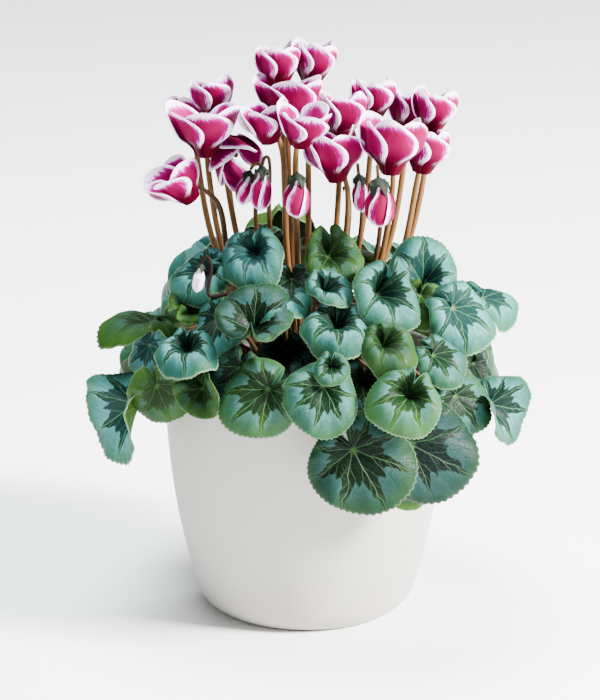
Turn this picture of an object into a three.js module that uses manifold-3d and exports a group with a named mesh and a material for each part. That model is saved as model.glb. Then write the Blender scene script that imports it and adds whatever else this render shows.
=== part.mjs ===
// Potted cyclamen: a tapered cover pot, the nursery pot and soil inside it, a corm with its stems,
// leaves that stand out of the pot in a low dome, and nodding blooms with swept-back petals.
// Millimetres, +Z up. The origin is the middle of the pot's base, and -Y is the front.
import * as THREE from "three";
import { mergeVertices } from "three/addons/utils/BufferGeometryUtils.js";
import Module from "manifold-3d";

const wasm = await Module();
wasm.setup();

// Driving dimensions
const CLEARANCE = 0.3;
const POT = { rim: 80, taper: 21.4, bend: 2.35, height: 145, wall: 3, floor: 3.5, foot: 50, sides: 30 };
const LINER = { foot: 45.5, mouth: 66, lip: 69.5, lipDrop: 6, wall: 1.2, floor: 1.5, top: 132, sides: 26 };
const DRAIN_HOLES = { count: 5, radius: 4, ring: 30, sides: 8 };
const SOIL = { level: 124, crown: 2, sides: 18 };
const CORM = { radius: 30, half: 16, centre: 122, rows: 6 };
const BLADE = { thickness: 1.0, sectors: 16, innerShare: 0.52 };
const PETIOLE = { radius: 1.5, sides: 3 };
const PEDUNCLE = { radius: 1.8, hookRadius: 1.2, sides: 4 };
const PETAL = { thickness: 1.0, count: 5, spacing: 58 };
const BUD = { sides: 8, twist: 1.1, flute: 0.74 };
const THROAT = { outer: 4.4, inner: 2.6, mouth: -0.4, top: 3.4, share: 0.24 };
const LINER_BASE = POT.floor + CLEARANCE;

const radians = THREE.MathUtils.degToRad;

// Blade forms, as shares of the blade's length: how far it rises round its stem, how far its margin
// droops, how far the two lobes beside the stem stand up, how far its sides fold up along the
// midrib, and how deep and how many its waves are.
const FORMS = {
  flat: { lift: 0.07, droop: 0.12, lobes: 0.05, fold: 0, wave: 0.05, waves: 5 },
  open: { lift: 0.24, droop: 0.3, lobes: 0.14, fold: 0, wave: 0.08, waves: 5 },
  funnel: { lift: 0.62, droop: 0.5, lobes: 0.24, fold: 0, wave: 0.09, waves: 4 },
  cup: { lift: 0.7, droop: 0.3, lobes: 0.3, fold: 0, wave: 0.08, waves: 3 },
  scoop: { lift: 0.42, droop: 0.24, lobes: 0.6, fold: 0, wave: 0.07, waves: 4 },
  fold: { lift: 0.05, droop: 0.12, lobes: 0.1, fold: 0.65, wave: 0.06, waves: 4 },
  wavy: { lift: 0.22, droop: 0.32, lobes: 0.12, fold: 0, wave: 0.16, waves: 3 },
};

// Leaves: node, where the stem meets the blade (x, y, z), the way its upper face looks (azimuth and
// elevation), the turn of its tip from straight downhill, its length from stem to tip, form, phase.
// Rows with the same node grow through each other and are one body.
const LEAVES = [
  ["leaf_front_low", 25, -108, 127, -90, 12, 30, 39, "flat", 0],
  ["leaf_front_low_right", 56, -96, 126, -76, 12, 60, 40, "flat", 1],
  ["leaf_low_green", 58, -84, 101, -70, 8, 0, 18, "open", 2],
  ["leaf_front_right", 55, -101, 155, -84, 38, -30, 27, "funnel", 2],
  ["leaf_front_mid", 9, -103, 161, -88, 26, -12, 28, "open", 3],
  ["leaf_front_mid", 13, -98, 171, -85, 30, 0, 13, "cup", 2],
  ["leaf_front_left", -20, -96, 157, -100, 26, -44, 30, "wavy", 1],
  ["leaf_centre_rim", 16, -71, 182, -85, 66, 0, 27, "funnel", 0],
  ["leaf_centre_left", -28, -75, 182, -95, 42, 178, 29, "scoop", 2],
  ["leaf_left_outer", -45, -58, 186, -125, 38, 0, 25, "open", 4],
  ["leaf_left_back", -49, -32, 200, -125, 52, -60, 26, "funnel", 1],
  ["leaf_top_left", -27, -35, 214, -110, 52, 0, 26, "funnel", 3],
  ["leaf_top_mid", 12, -38, 214, -75, 52, 10, 23, "scoop", 5],
  ["leaf_centre_left", -15, -57, 196.5, -100, 78, 20, 23, "open", 2],
  ["leaf_top_mid", 9, -60, 199, -70, 66, 20, 18, "cup", 4],
  ["leaf_centre_left", -8, -46, 204, -90, 62, 0, 21, "open", 1],
  ["leaf_top_right", 37, -51.5, 196, -50, 42, -20, 29, "cup", 0],
  ["leaf_back_right", 65, -12, 190, -85, 38, 178, 28, "funnel", 1],
  ["leaf_right_big", 80, -38, 185, -62, 44, 40, 30, "wavy", 2],
  ["leaf_right_big", 98, -10, 182, -30, 62, 30, 24, "wavy", 0],
  ["leaf_right_green", 63, -30, 190, -80, 50, -20, 21, "open", 3],
  ["leaf_right_toothed", 68, -77, 170, -55, 50, 40, 23, "open", 5],
  ["leaf_right_under", 41, -82, 176, -75, 54, 20, 23, "funnel", 1],
  ["leaf_right_low", 101, -52, 134, -40, 30, 20, 27, "fold", 3],
  ["leaf_right_low", 81, -70, 145, -60, 20, 30, 26, "flat", 0],
  ["leaf_right_edge", 92, -34, 152, -40, 28, 0, 20, "open", 4],
  ["leaf_left_hang", -93, -45, 131, -150, 26, 0, 36, "fold", 2],
  ["leaf_left_hang", -82, -63, 149, -80, -14, 20, 26, "wavy", 1],
  ["leaf_left_small", -56, -79, 152, -130, 30, 30, 18, "fold", 3],
  ["leaf_left_silver", -64, -72, 168, -105, 72, 10, 24, "funnel", 0],
  ["leaf_left_far", -86, -44, 166, -130, 18, 0, 20, "flat", 5],
  ["leaf_left_far", -84, -23, 170, -120, 92, -66, 32, "wavy", 3],
  ["leaf_left_back", -62, -38, 182, -110, 40, 150, 22, "scoop", 2],
  ["leaf_gap_dark", -36, -80, 164.5, -105, 20, -10, 22, "flat", 2],
  ["leaf_gap_right", 30, -73, 155.5, -83, 22, -1, 23, "cup", 1],
  ["leaf_inner_front", -11, -67, 169, -90, 58, 0, 25, "open", 1],
  ["leaf_rear_top_right", 27, 41, 196, 60, 62, 0, 31, "open", 1],
  ["leaf_rear_top_left", -25, 41.5, 199, 120, 62, 10, 31, "open", 3],
  ["leaf_rear_upper_right", 68, 28, 175, 24, 44, -10, 33, "funnel", 4],
  ["leaf_rear_upper_mid", 10, 76, 183, 85, 44, -20, 35, "open", 0],
  ["leaf_rear_upper_left", -55, 53.5, 176, 140, 40, 0, 37, "funnel", 1],
  ["leaf_rear_mid_right", 64, 76, 156, 50, 26, 10, 38, "wavy", 3],
  ["leaf_rear_mid", 0, 100, 155, 90, 26, -15, 38, "open", 1],
  ["leaf_rear_upper_left", -62, 82, 156, 130, 26, 10, 38, "open", 4],
  ["leaf_rear_far_left", -93, 23, 148, 164, 22, 10, 33, "open", 2],
  ["leaf_rear_upper_right", 96, 26, 146, 14, 22, -10, 33, "open", 2],
  ["leaf_rear_mid_right", 48, 100, 124, 64, 8, 0, 37, "flat", 5],
  ["leaf_rear_mid", -36, 104, 123, 110, 9, -20, 38, "flat", 1],
  ["leaf_rear_mid_right", 55, 62, 181, 52, 42, 10, 31, "open", 0],
  ["leaf_rear_mid", -30, 83, 178, 112, 42, -10, 30, "open", 2],
  ["leaf_rear_far_left", -76, 25, 168, 160, 44, 0, 26, "open", 4],
  ["leaf_rear_upper_left", -86, 72, 124, 138, 10, 0, 36, "flat", 2],
  ["leaf_rear_mid_right", 95, 60, 127, 33, 12, 0, 34, "flat", 4],
  ["leaf_rear_top_left", -13, 55, 201, 100, 58, 0, 28, "funnel", 2],
];

// Blooms: node, the mouth (x, y, z), the way the petals lean (azimuth and angle from upright), the
// side that the stem comes in on, petal length, and how far the petal tips flare.
const BLOOMS = [
  ["bloom_far_left", -64, -22, 245, 190, 40, 10, 21, 1.2],
  ["bloom_left_top", -50, 14, 284, 160, 14, 90, 19, 0.5],
  ["bloom_left_back", -65, 32, 271, 180, 10, 90, 19, 0.5],
  ["bloom_left", -55, -17.5, 269, 180, 4, 90, 26, 1.2],
  ["bloom_left_low", -45, 3.5, 268, -60, 116, 90, 23, 0.8],
  ["bloom_upper", -15, 12, 302, 170, 6, 90, 20, 0.4],
  ["bloom_top_right", 3, 26, 300, 20, 6, 90, 21, 0.4],
  ["bloom_upper", -10, -4, 282, 90, 4, 90, 25, 1.2],
  ["bloom_centre_left", -20, -26, 279, 200, 14, 60, 20, 0.6],
  ["bloom_centre", -3, -39, 280, -60, 12, 100, 20, 1.1],
  ["bloom_right_mid", 19, 8, 272, 90, 4, 90, 24, 0.5],
  ["bloom_right_low", 17, -22, 256, 170, 8, 60, 26, 0.4],
  ["bloom_right_mid", 37, 22, 280, 80, 6, 90, 20, 0.5],
  ["bloom_right_front", 46.5, -26, 261, 60, 4, 80, 29, 0.6],
  ["bloom_right_back", 57, 33, 271, 70, 8, 90, 20, 0.4],
  ["bloom_far_right", 70, 12, 276, 10, 6, 90, 21, 0.4],
  ["bloom_right_behind", 64.5, -3, 256, 10, 8, 100, 22, 0.3],
];

// Closed buds and hanging flowers: node, the top of the calyx (x, y, z), the way they hang (azimuth
// and angle from straight down), the side that the stem comes in on, length, greatest radius.
const BUDS = [
  ["bud_centre", -5, -42, 263, -90, 4, 90, 25, 7.5],
  ["bud_right", 39, -48, 262, 20, 4, 90, 28, 8.5],
  ["bud_left", -24, -30, 264, -110, 8, 60, 25, 6],
  ["bud_left_low", -31, -14, 257, 190, 14, 20, 20, 5],
  ["bud_right_behind", 29, -10, 254, 0, 6, 90, 22, 5],
  ["bud_small", -57, -54, 215, 215, 12, 0, 16, 3.4],
];

// Points that a stem passes where it is bent clear of the leaves
const DETOURS = {
  bud_small: [
    [-14, -34, 172],
    [-36, -52, 198],
  ],
};

// A stem that has lost its flower: where it leans over, and its tip
const SPENT_STEM = { low: [24, -6, 236], tip: [22, -8, 247] };

const node = (name, geometry, colour, roughness) => {
  const material = new THREE.MeshStandardMaterial({ color: colour, roughness, metalness: 0 });
  const mesh = new THREE.Mesh(geometry, material);
  mesh.name = name;
  return mesh;
};

// A direction from an azimuth and an elevation in degrees
const direction = (azimuth, elevation) =>
  new THREE.Vector3(
    Math.cos(radians(azimuth)) * Math.cos(radians(elevation)),
    Math.sin(radians(azimuth)) * Math.cos(radians(elevation)),
    Math.sin(radians(elevation)),
  );

// A closed mesh from points and triangles
function meshOf(points, triangles) {
  const geometry = new THREE.BufferGeometry().setFromPoints(points);
  geometry.setIndex(triangles);
  return geometry;
}

// A closed geometry as a solid that can be cut and joined
function solidOf(geometry) {
  const bare = geometry.clone();
  bare.deleteAttribute("normal");
  bare.deleteAttribute("uv");
  const merged = mergeVertices(bare, 1e-4);
  return new wasm.Manifold(
    new wasm.Mesh({
      numProp: 3,
      vertProperties: new Float32Array(merged.attributes.position.array),
      triVerts: new Uint32Array(merged.index.array),
    }),
  );
}

function geometryOf(solid) {
  const mesh = solid.getMesh();
  const geometry = new THREE.BufferGeometry();
  geometry.setAttribute("position", new THREE.BufferAttribute(mesh.vertProperties, 3));
  geometry.setIndex(new THREE.BufferAttribute(mesh.triVerts, 1));
  geometry.computeVertexNormals();
  return geometry;
}

const joined = (geometries) =>
  geometryOf(geometries.map(solidOf).reduce((whole, piece) => whole.add(piece)));

// A solid of revolution about Z, from its profile of [radius, height] pairs
function turned(profile, sides) {
  const points = profile.map(([radius, height]) => new THREE.Vector2(radius, height));
  return new THREE.LatheGeometry(points, sides).rotateX(Math.PI / 2);
}

// Cover pot
const potRadius = (height) => POT.rim - POT.taper * (1 - height / POT.height) ** POT.bend;

function coverPot() {
  const outside = [7.5, 28, 55, 90, 143].map((height) => [potRadius(height), height]);
  const inside = [90, 45, 14].map((height) => [potRadius(height) - POT.wall, height]);
  return turned(
    [
      [0, 0],
      [POT.foot, 0],
      [POT.foot + 6.6, 2.2],
      ...outside,
      [POT.rim - 0.8, POT.height],
      [POT.rim - POT.wall + 0.8, POT.height],
      [POT.rim - POT.wall, POT.height - 2],
      ...inside,
      [POT.foot - 1, POT.floor],
      [0, POT.floor],
    ],
    POT.sides,
  );
}

// Nursery pot, with its drain holes
const linerRadius = (height) =>
  LINER.foot + ((LINER.mouth - LINER.foot) * (height - LINER_BASE)) / (LINER.top - LINER_BASE);

function nurseryPot() {
  const lipBase = LINER.top - LINER.lipDrop;
  const shell = turned(
    [
      [0, LINER_BASE],
      [LINER.foot, LINER_BASE],
      [linerRadius(lipBase), lipBase],
      [LINER.lip, lipBase],
      [LINER.lip, LINER.top],
      [linerRadius(LINER.top) - LINER.wall, LINER.top],
      [LINER.foot - LINER.wall, LINER_BASE + LINER.floor],
      [0, LINER_BASE + LINER.floor],
    ],
    LINER.sides,
  );
  const { count, radius, ring, sides } = DRAIN_HOLES;
  let pot = solidOf(shell);
  for (let hole = 0; hole < count; hole++) {
    const turn = (2 * Math.PI * hole) / count;
    const plug = new THREE.CylinderGeometry(radius, radius, 10, sides)
      .rotateX(Math.PI / 2)
      .translate(ring * Math.cos(turn), ring * Math.sin(turn), LINER_BASE);
    pot = pot.subtract(solidOf(plug));
  }
  return geometryOf(pot);
}

// Corm, and the soil with the hollow that the corm sits in
function cormProfile(extra) {
  return Array.from({ length: CORM.rows + 1 }, (_, row) => {
    const angle = -Math.PI / 2 + (Math.PI * row) / CORM.rows;
    const radius = Math.max(0, (CORM.radius + extra) * Math.cos(angle));
    return [radius, CORM.centre + (CORM.half + extra) * Math.sin(angle)];
  });
}

const cormTop = (radius) => CORM.centre + CORM.half * Math.sqrt(1 - (radius / CORM.radius) ** 2);

function soil() {
  const base = LINER_BASE + LINER.floor + CLEARANCE;
  const block = turned(
    [
      [0, base],
      [linerRadius(base) - LINER.wall - CLEARANCE, base],
      [linerRadius(SOIL.level) - LINER.wall - CLEARANCE, SOIL.level],
      [CORM.radius + 6, SOIL.level + SOIL.crown],
      [0, SOIL.level + SOIL.crown],
    ],
    LINER.sides,
  );
  return geometryOf(solidOf(block).subtract(solidOf(turned(cormProfile(0.4), SOIL.sides))));
}

// A closed body from rings of points, first to last, with a point at each end
function capped(rings, first, last) {
  const sides = rings[0].length;
  const points = [first, ...rings.flat(), last];
  const end = points.length - 1;
  const triangles = [];
  for (let side = 0; side < sides; side++) {
    const next = (side + 1) % sides;
    triangles.push(0, 1 + next, 1 + side);
    for (let ring = 0; ring < rings.length - 1; ring++) {
      const [a, b] = [1 + ring * sides + side, 1 + ring * sides + next];
      triangles.push(a, b, b + sides, a, b + sides, a + sides);
    }
    triangles.push(end, end - sides + side, end - sides + next);
  }
  return meshOf(points, triangles);
}

// A stem through the given points, with a ring of its own sides at each, closed at both ends
function stem(points, radii, sides) {
  const last = points.length - 1;
  const across = new THREE.Vector3(1, 0, 0);
  let before = new THREE.Vector3(0, 0, 1);
  const rings = points.map((middle, ring) => {
    const ahead = new THREE.Vector3();
    if (ring > 0) ahead.add(middle.clone().sub(points[ring - 1]).normalize());
    if (ring < last) ahead.add(points[ring + 1].clone().sub(middle).normalize());
    ahead.normalize();
    across.applyQuaternion(new THREE.Quaternion().setFromUnitVectors(before, ahead));
    before = ahead;
    const upward = new THREE.Vector3().crossVectors(ahead, across);
    return Array.from({ length: sides }, (_, side) => {
      const turn = (2 * Math.PI * side) / sides;
      return middle
        .clone()
        .addScaledVector(across, radii[ring] * Math.cos(turn))
        .addScaledVector(upward, radii[ring] * Math.sin(turn));
    });
  });
  return capped(rings, points[0], points[last]);
}

// A leaf's own axes: along its midrib, across it, and out of its upper face
function leafAxes([, , , , azimuth, elevation, spin]) {
  const out = direction(azimuth, elevation);
  const downhill = direction(azimuth, elevation - 90);
  const sideways = new THREE.Vector3().crossVectors(out, downhill);
  const along = downhill
    .multiplyScalar(Math.cos(radians(spin)))
    .addScaledVector(sideways, Math.sin(radians(spin)));
  return { along, across: new THREE.Vector3().crossVectors(out, along), out };
}

// How far the blade reaches from its stem, at an angle from the tip, as a share of its length
function reach(angle, phase) {
  const notch = THREE.MathUtils.smoothstep(Math.abs(angle) / Math.PI, 0.88, 1);
  const uneven = 1 + 0.05 * Math.sin(3 * angle + 2 * phase);
  return (0.71 + 0.26 * Math.cos(angle) + 0.03 * Math.cos(2 * angle)) * (1 - 0.75 * notch) * uneven;
}

// How far the blade stands out of its plane, at an angle and a share of its length
function rise(form, phase, angle, share) {
  const { lift, droop, lobes, fold, wave, waves } = FORMS[form];
  const back = ((1 - Math.cos(angle)) / 2) ** 2;
  return (
    lift * share * (2 - share) -
    droop * share ** 3 +
    lobes * back * share ** 1.5 +
    fold * share * Math.sin(angle) ** 2 +
    wave * share ** 2 * Math.sin(waves * angle + phase)
  );
}

// A leaf blade: a heart-shaped sheet with a toothed margin, waved round the end of its stem. Each
// face has a middle point, an inner ring and a margin with twice as many points.
function blade(row) {
  const [, x, y, z, , , , length, form, phase] = row;
  const { along, across, out } = leafAxes(row);
  const { sectors, innerShare, thickness } = BLADE;
  const inner = sectors / 2;
  const place = (angle, share, side) =>
    new THREE.Vector3(x, y, z)
      .addScaledVector(along, length * share * Math.cos(angle))
      .addScaledVector(across, length * share * Math.sin(angle))
      .addScaledVector(out, length * rise(form, phase, angle, share) + (side * thickness) / 2);
  const ring = (count, share, side) =>
    Array.from({ length: count }, (_, k) => {
      const turn = (2 * Math.PI * k) / count;
      const angle = turn > Math.PI ? turn - 2 * Math.PI : turn;
      return place(angle, share(k) * reach(angle, phase), side);
    });
  const tooth = (k) => (k % 2 ? 0.96 : 1.03);
  const face = (side) => [
    place(0, 0, side),
    ...ring(inner, () => innerShare, side),
    ...ring(sectors, tooth, side),
  ];
  const points = [...face(1), ...face(-1)];
  const count = points.length / 2;
  const upper = [];
  for (let k = 0; k < inner; k++) {
    const [a, b] = [1 + k, 1 + ((k + 1) % inner)];
    const [p, q, r] = [2 * k, 2 * k + 1, (2 * k + 2) % sectors].map((margin) => 1 + inner + margin);
    upper.push(0, a, b, a, p, q, a, q, b, b, q, r);
  }
  const triangles = [...upper];
  for (let corner = 0; corner < upper.length; corner += 3) {
    const [a, b, c] = upper.slice(corner, corner + 3);
    triangles.push(a + count, c + count, b + count);
  }
  for (let k = 0; k < sectors; k++) {
    const a = 1 + inner + k;
    const b = 1 + inner + ((k + 1) % sectors);
    triangles.push(a, a + count, b + count, a, b + count, b);
  }
  return meshOf(points, triangles);
}

// A leaf's stem, from the corm to just under its blade, over the pot's rim where the leaf hangs outside
function petiole(row) {
  const [, x, y, z] = row;
  const { out } = leafAxes(row);
  const end = new THREE.Vector3(x, y, z).addScaledVector(out, -(BLADE.thickness / 2 + CLEARANCE));
  const azimuth = Math.atan2(y, x);
  const distance = Math.hypot(x, y);
  const foot = 14 + 0.12 * (distance - 35);
  const polar = (radius, height) =>
    new THREE.Vector3(radius * Math.cos(azimuth), radius * Math.sin(azimuth), height);
  const start = polar(foot, cormTop(foot) - 4);
  const hangs = z < POT.height + 12 && distance > POT.rim;
  const middle = hangs
    ? [polar(50, POT.height + 12), polar(POT.rim, POT.height + 7)]
    : [polar(foot + 0.45 * (distance - foot), start.z + 0.8 * (z - start.z) + 4)];
  if (z < POT.height - 10) middle.push(polar(POT.rim + 6, POT.height));
  const approach = end.clone().addScaledVector(out, -8);
  const points = [start, ...middle, approach, end];
  return stem(points, points.map(() => PETIOLE.radius), PETIOLE.sides);
}

// A bloom's own axes: the way its petals sweep, towards its stem's side, and across both
function bloomAxes([, , , , azimuth, lean, side]) {
  const up = direction(azimuth, 90 - lean);
  const towards = direction(side, 0);
  towards.addScaledVector(up, -towards.dot(up)).normalize();
  return { up, towards, across: new THREE.Vector3().crossVectors(up, towards) };
}

// A petal's course up from the throat: distance from the bloom's axis, height over the mouth, the
// angle that it takes up to each side of its middle, and how far it winds outwards per radian
function petalCourse(length, flare) {
  const size = length / 26;
  return [
    [6.8, 0.14 * length, 0.46, 1.9],
    [(11 + 1.1 * flare) * size, 0.38 * length, 0.84, 3],
    [(12 + 4.4 * flare) * size, 0.76 * length, 0.72, 3.5],
    [(11 + 8 * flare) * size, length, 0.42, 1.7],
  ];
}

// A bloom: a short throat with petals that grow up from it and overlap like the blades of a fan, each
// with one edge outside its neighbour and one inside. A petal is rows of three points on each face,
// from the throat's rim to the petal's tip.
function bloom(row) {
  const [, x, y, z, , , , length, flare] = row;
  const { up, towards, across } = bloomAxes(row);
  const place = (turn, radius, height) =>
    new THREE.Vector3(x, y, z)
      .addScaledVector(towards, radius * Math.cos(turn))
      .addScaledVector(across, radius * Math.sin(turn))
      .addScaledVector(up, height);
  const course = petalCourse(length, flare);
  const tip = course.length;
  const columns = [-1, 0, 1];
  const points = [place(0, 0, THROAT.mouth), place(0, 0, THROAT.top + 1)];
  for (let petal = 0; petal < PETAL.count; petal++) {
    const middle = radians(180 + PETAL.spacing * (petal - (PETAL.count - 1) / 2));
    const tipStretch = 1 + 0.05 * Math.sin(2.4 * petal + x);
    for (const column of columns)
      points.push(place(middle + column * THROAT.share, THROAT.outer, THROAT.mouth - 2));
    for (const column of columns)
      points.push(place(middle + column * THROAT.share, THROAT.inner, THROAT.top));
    course.forEach(([radius, height, spread, wind], level) => {
      const stretch = level === tip - 1 ? tipStretch : 1;
      for (const face of [1, -1])
        for (const column of columns) {
          const offset = column * spread;
          const sag = Math.abs(column) * 0.08 * height * (height / length);
          const wound = stretch * radius + wind * offset + (face * PETAL.thickness) / 2;
          points.push(place(middle + offset, wound, stretch * height - sag));
        }
    });
  }
  const triangles = [];
  const quad = (a, b, c, d) => triangles.push(a, b, c, a, c, d);
  for (let petal = 0; petal < PETAL.count; petal++) {
    const outer = (level, column) => 2 + (petal * (tip + 1) + level) * 6 + column;
    const inner = (level, column) => outer(level, column) + 3;
    const next = 2 + ((petal + 1) % PETAL.count) * (tip + 1) * 6;
    for (let level = 0; level < tip; level++) {
      const above = level + 1;
      for (const column of [0, 1]) {
        const beside = column + 1;
        quad(outer(level, column), outer(level, beside), outer(above, beside), outer(above, column));
        triangles.push(inner(level, column), inner(above, beside), inner(level, beside));
        triangles.push(inner(level, column), inner(above, column), inner(above, beside));
      }
      quad(outer(level, 0), outer(above, 0), inner(above, 0), inner(level, 0));
      quad(outer(level, 2), inner(level, 2), inner(above, 2), outer(above, 2));
    }
    for (const column of [0, 1]) {
      const beside = column + 1;
      quad(outer(tip, column), outer(tip, beside), inner(tip, beside), inner(tip, column));
      triangles.push(0, outer(0, beside), outer(0, column));
      triangles.push(1, inner(0, column), inner(0, beside));
    }
    quad(outer(0, 2), next, next + 3, inner(0, 2));
    triangles.push(0, next, outer(0, 2));
    triangles.push(1, inner(0, 2), next + 3);
  }
  return meshOf(points, triangles);
}

// A hanging bud's own axes: the way it hangs, towards its stem's side, and across both
function budAxes([, , , , azimuth, lean, side]) {
  const down = direction(azimuth, lean - 90);
  const towards = direction(side, 0);
  towards.addScaledVector(down, -towards.dot(down)).normalize();
  return { down, towards, across: new THREE.Vector3().crossVectors(down, towards) };
}

// How wide a closed bud is on its way down, as shares of its length and of its greatest radius
const BUD_COURSE = [
  [0.06, 0.42],
  [0.2, 0.5],
  [0.45, 0.95],
  [0.72, 1],
  [0.92, 0.55],
];

// A closed bud: petals furled round each other under a narrow calyx
function bud(row) {
  const [, x, y, z, , , , length, radius] = row;
  const { down, towards, across } = budAxes(row);
  const top = new THREE.Vector3(x, y, z);
  const rings = BUD_COURSE.map(([share, width]) =>
    Array.from({ length: BUD.sides }, (_, side) => {
      const turn = (2 * Math.PI * side) / BUD.sides + BUD.twist * share;
      const fluted = side % 2 && share > 0.3 ? BUD.flute : 1;
      return top
        .clone()
        .addScaledVector(down, share * length)
        .addScaledVector(towards, radius * width * fluted * Math.cos(turn))
        .addScaledVector(across, radius * width * fluted * Math.sin(turn));
    }),
  );
  return capped(rings, top, top.clone().addScaledVector(down, length));
}

// A flower stem from the corm to a point below the flower, and then along its hook
function flowerStem(name, low, hook) {
  const foot = new THREE.Vector2(0.2 * low.x, 0.3 * low.y);
  const start = new THREE.Vector3(foot.x, foot.y, cormTop(foot.length()) - 4);
  const between = [0.28, 0.62].map((share) => {
    const outward = 1 - (1 - share) ** 1.8;
    return new THREE.Vector3(
      THREE.MathUtils.lerp(start.x, low.x, outward),
      THREE.MathUtils.lerp(start.y, low.y, share ** 1.3),
      THREE.MathUtils.lerp(start.z, low.z, share),
    );
  });
  const detour = DETOURS[name]?.map((point) => new THREE.Vector3(...point));
  const points = [start, ...(detour ?? between), low, ...hook];
  const radii = points.map((_, ring) => (ring < 4 ? PEDUNCLE.radius : PEDUNCLE.hookRadius));
  return stem(points, radii, PEDUNCLE.sides);
}

// A bloom's stem comes up between two petals and over into the top of the bloom
function peduncle(row) {
  const [name, x, y, z] = row;
  const { up, towards } = bloomAxes(row);
  const at = (out, height) =>
    new THREE.Vector3(x, y, z).addScaledVector(towards, out).addScaledVector(up, height);
  return flowerStem(name, at(8.5, -14), [at(7.4, 0), at(6.2, 6.2), at(3, 8.4), at(0.2, 5.1)]);
}

// A bud's stem comes up past the bud and over into its calyx
function budStem(row) {
  const [name, x, y, z, , , , length, radius] = row;
  const { down, towards } = budAxes(row);
  const at = (out, height) =>
    new THREE.Vector3(x, y, z).addScaledVector(towards, out).addScaledVector(down, -height);
  const hook = [at(radius + 2.4, -2), at(radius, 4), at(0.4 * radius, 4.4), at(0, 0.7)];
  return flowerStem(name, at(radius + 3.5, -length), hook);
}

function spentStem() {
  const [low, tip] = [SPENT_STEM.low, SPENT_STEM.tip].map((point) => new THREE.Vector3(...point));
  return flowerStem("", low, [tip]);
}

// The corm with every stem
function crown() {
  const corm = turned(cormProfile(0), SOIL.sides);
  const flowerStems = [...BLOOMS.map(peduncle), ...BUDS.map(budStem), spentStem()];
  return joined([corm, ...LEAVES.map(petiole), ...flowerStems]);
}

const bodyOf = (rows, name, make) => joined(rows.filter(([other]) => other === name).map(make));
const namesIn = (rows) => new Set(rows.map(([name]) => name));

const plant = new THREE.Group();
plant.add(node("pot", coverPot(), 0xd9d8d4, 0.6));
plant.add(node("nursery_pot", nurseryPot(), 0x2b2826, 0.8));
plant.add(node("soil", soil(), 0x2e211a, 1));
plant.add(node("corm_and_stems", crown(), 0x8a5a32, 0.6));
for (const name of namesIn(LEAVES)) plant.add(node(name, bodyOf(LEAVES, name, blade), 0x5f9a85, 0.5));
for (const name of namesIn(BLOOMS)) plant.add(node(name, bodyOf(BLOOMS, name, bloom), 0xc21a62, 0.5));
for (const name of namesIn(BUDS)) plant.add(node(name, bodyOf(BUDS, name, bud), 0xd06a98, 0.5));

export default plant;
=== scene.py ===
"""Potted cyclamen: marbled leaves, picotee blooms and a plain matt pot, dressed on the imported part."""

import math
import random

import bmesh
import bpy
import numpy as np
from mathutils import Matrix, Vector


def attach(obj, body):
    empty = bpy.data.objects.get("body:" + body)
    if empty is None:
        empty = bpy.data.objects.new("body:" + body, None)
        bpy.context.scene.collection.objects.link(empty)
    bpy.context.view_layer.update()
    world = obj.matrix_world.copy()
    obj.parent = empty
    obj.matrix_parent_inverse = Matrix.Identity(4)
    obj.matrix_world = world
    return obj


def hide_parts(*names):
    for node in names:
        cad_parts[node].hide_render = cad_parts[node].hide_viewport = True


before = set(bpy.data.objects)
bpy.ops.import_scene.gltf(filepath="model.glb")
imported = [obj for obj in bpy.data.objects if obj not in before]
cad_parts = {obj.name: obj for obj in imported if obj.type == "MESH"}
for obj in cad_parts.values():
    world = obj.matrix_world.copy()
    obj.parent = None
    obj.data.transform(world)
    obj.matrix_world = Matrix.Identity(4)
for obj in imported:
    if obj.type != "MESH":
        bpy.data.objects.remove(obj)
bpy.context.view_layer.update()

MM = 0.001
UPRIGHT = np.eye(3)[[2, 0, 1]]
RNG = random.Random(17)

# The part's own dimensions, in millimetres
CLEARANCE = 0.3
POT_RIM, POT_FOOT, POT_HEIGHT, POT_WALL, POT_FLOOR = 80, 50, 145, 3, 3.5
POT_TAPER, POT_BEND = 21.4, 2.35
LINER_MOUTH, LINER_FOOT, LINER_TOP, LINER_WALL, LINER_FLOOR = 66, 45.5, 132, 1.2, 1.5
LINER_BASE = POT_FLOOR + CLEARANCE
SOIL_LEVEL, SOIL_CROWN = 124, 2
CORM_RADIUS, CORM_HALF, CORM_CENTRE = 30, 16, 122
BLADE_THICKNESS = 1.0
PETIOLE_RADIUS = 1.5
PEDUNCLE_RADIUS, HOOK_RADIUS = 1.8, 1.2
PETAL_COUNT, PETAL_SPACING = 5, 58
THROAT_OUTER, THROAT_MOUTH = 4.4, -0.4

# How finely the visible surfaces are made
BLADE_TEETH, BLADE_RINGS = 64, 14
PETAL_ROWS, PETAL_COLUMNS = 24, 15
BUD_ROWS, BUD_COLUMNS = 26, 11
POT_SIDES, SOIL_SIDES, THROAT_SIDES, STEM_SIDES, PETIOLE_SIDES = 160, 72, 40, 12, 9
STEM_STEPS, CRUMB_COUNT = 8, 620

# Relief of a blade, as shares of its length: the quilting between its veins, how far it sinks, the
# long and the short ruffles of its margin and the margin's roll
QUILT, SINK, RUFFLE, FRILL, ROLL = 0.035, 0.012, 0.032, 0.012, 0.03
# The teeth and the slow waves of its outline, as shares of the reach
TOOTH, OUTLINE_WAVE = 0.026, 0.014
# What each leaf's lightness, partly its own tone and partly painted light and shade, is multiplied by
LEAF_LIGHT = 0.66

# Half the number of main veins round a blade, and the angle between two of them in radians
VEIN_WAVES, VEIN_GAP = 4.5, math.radians(40)

# Where up a petal its tip starts to narrow, and the tip's share of the petal
TIP_START, TIP_SHARE = 0.56, 0.44

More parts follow.
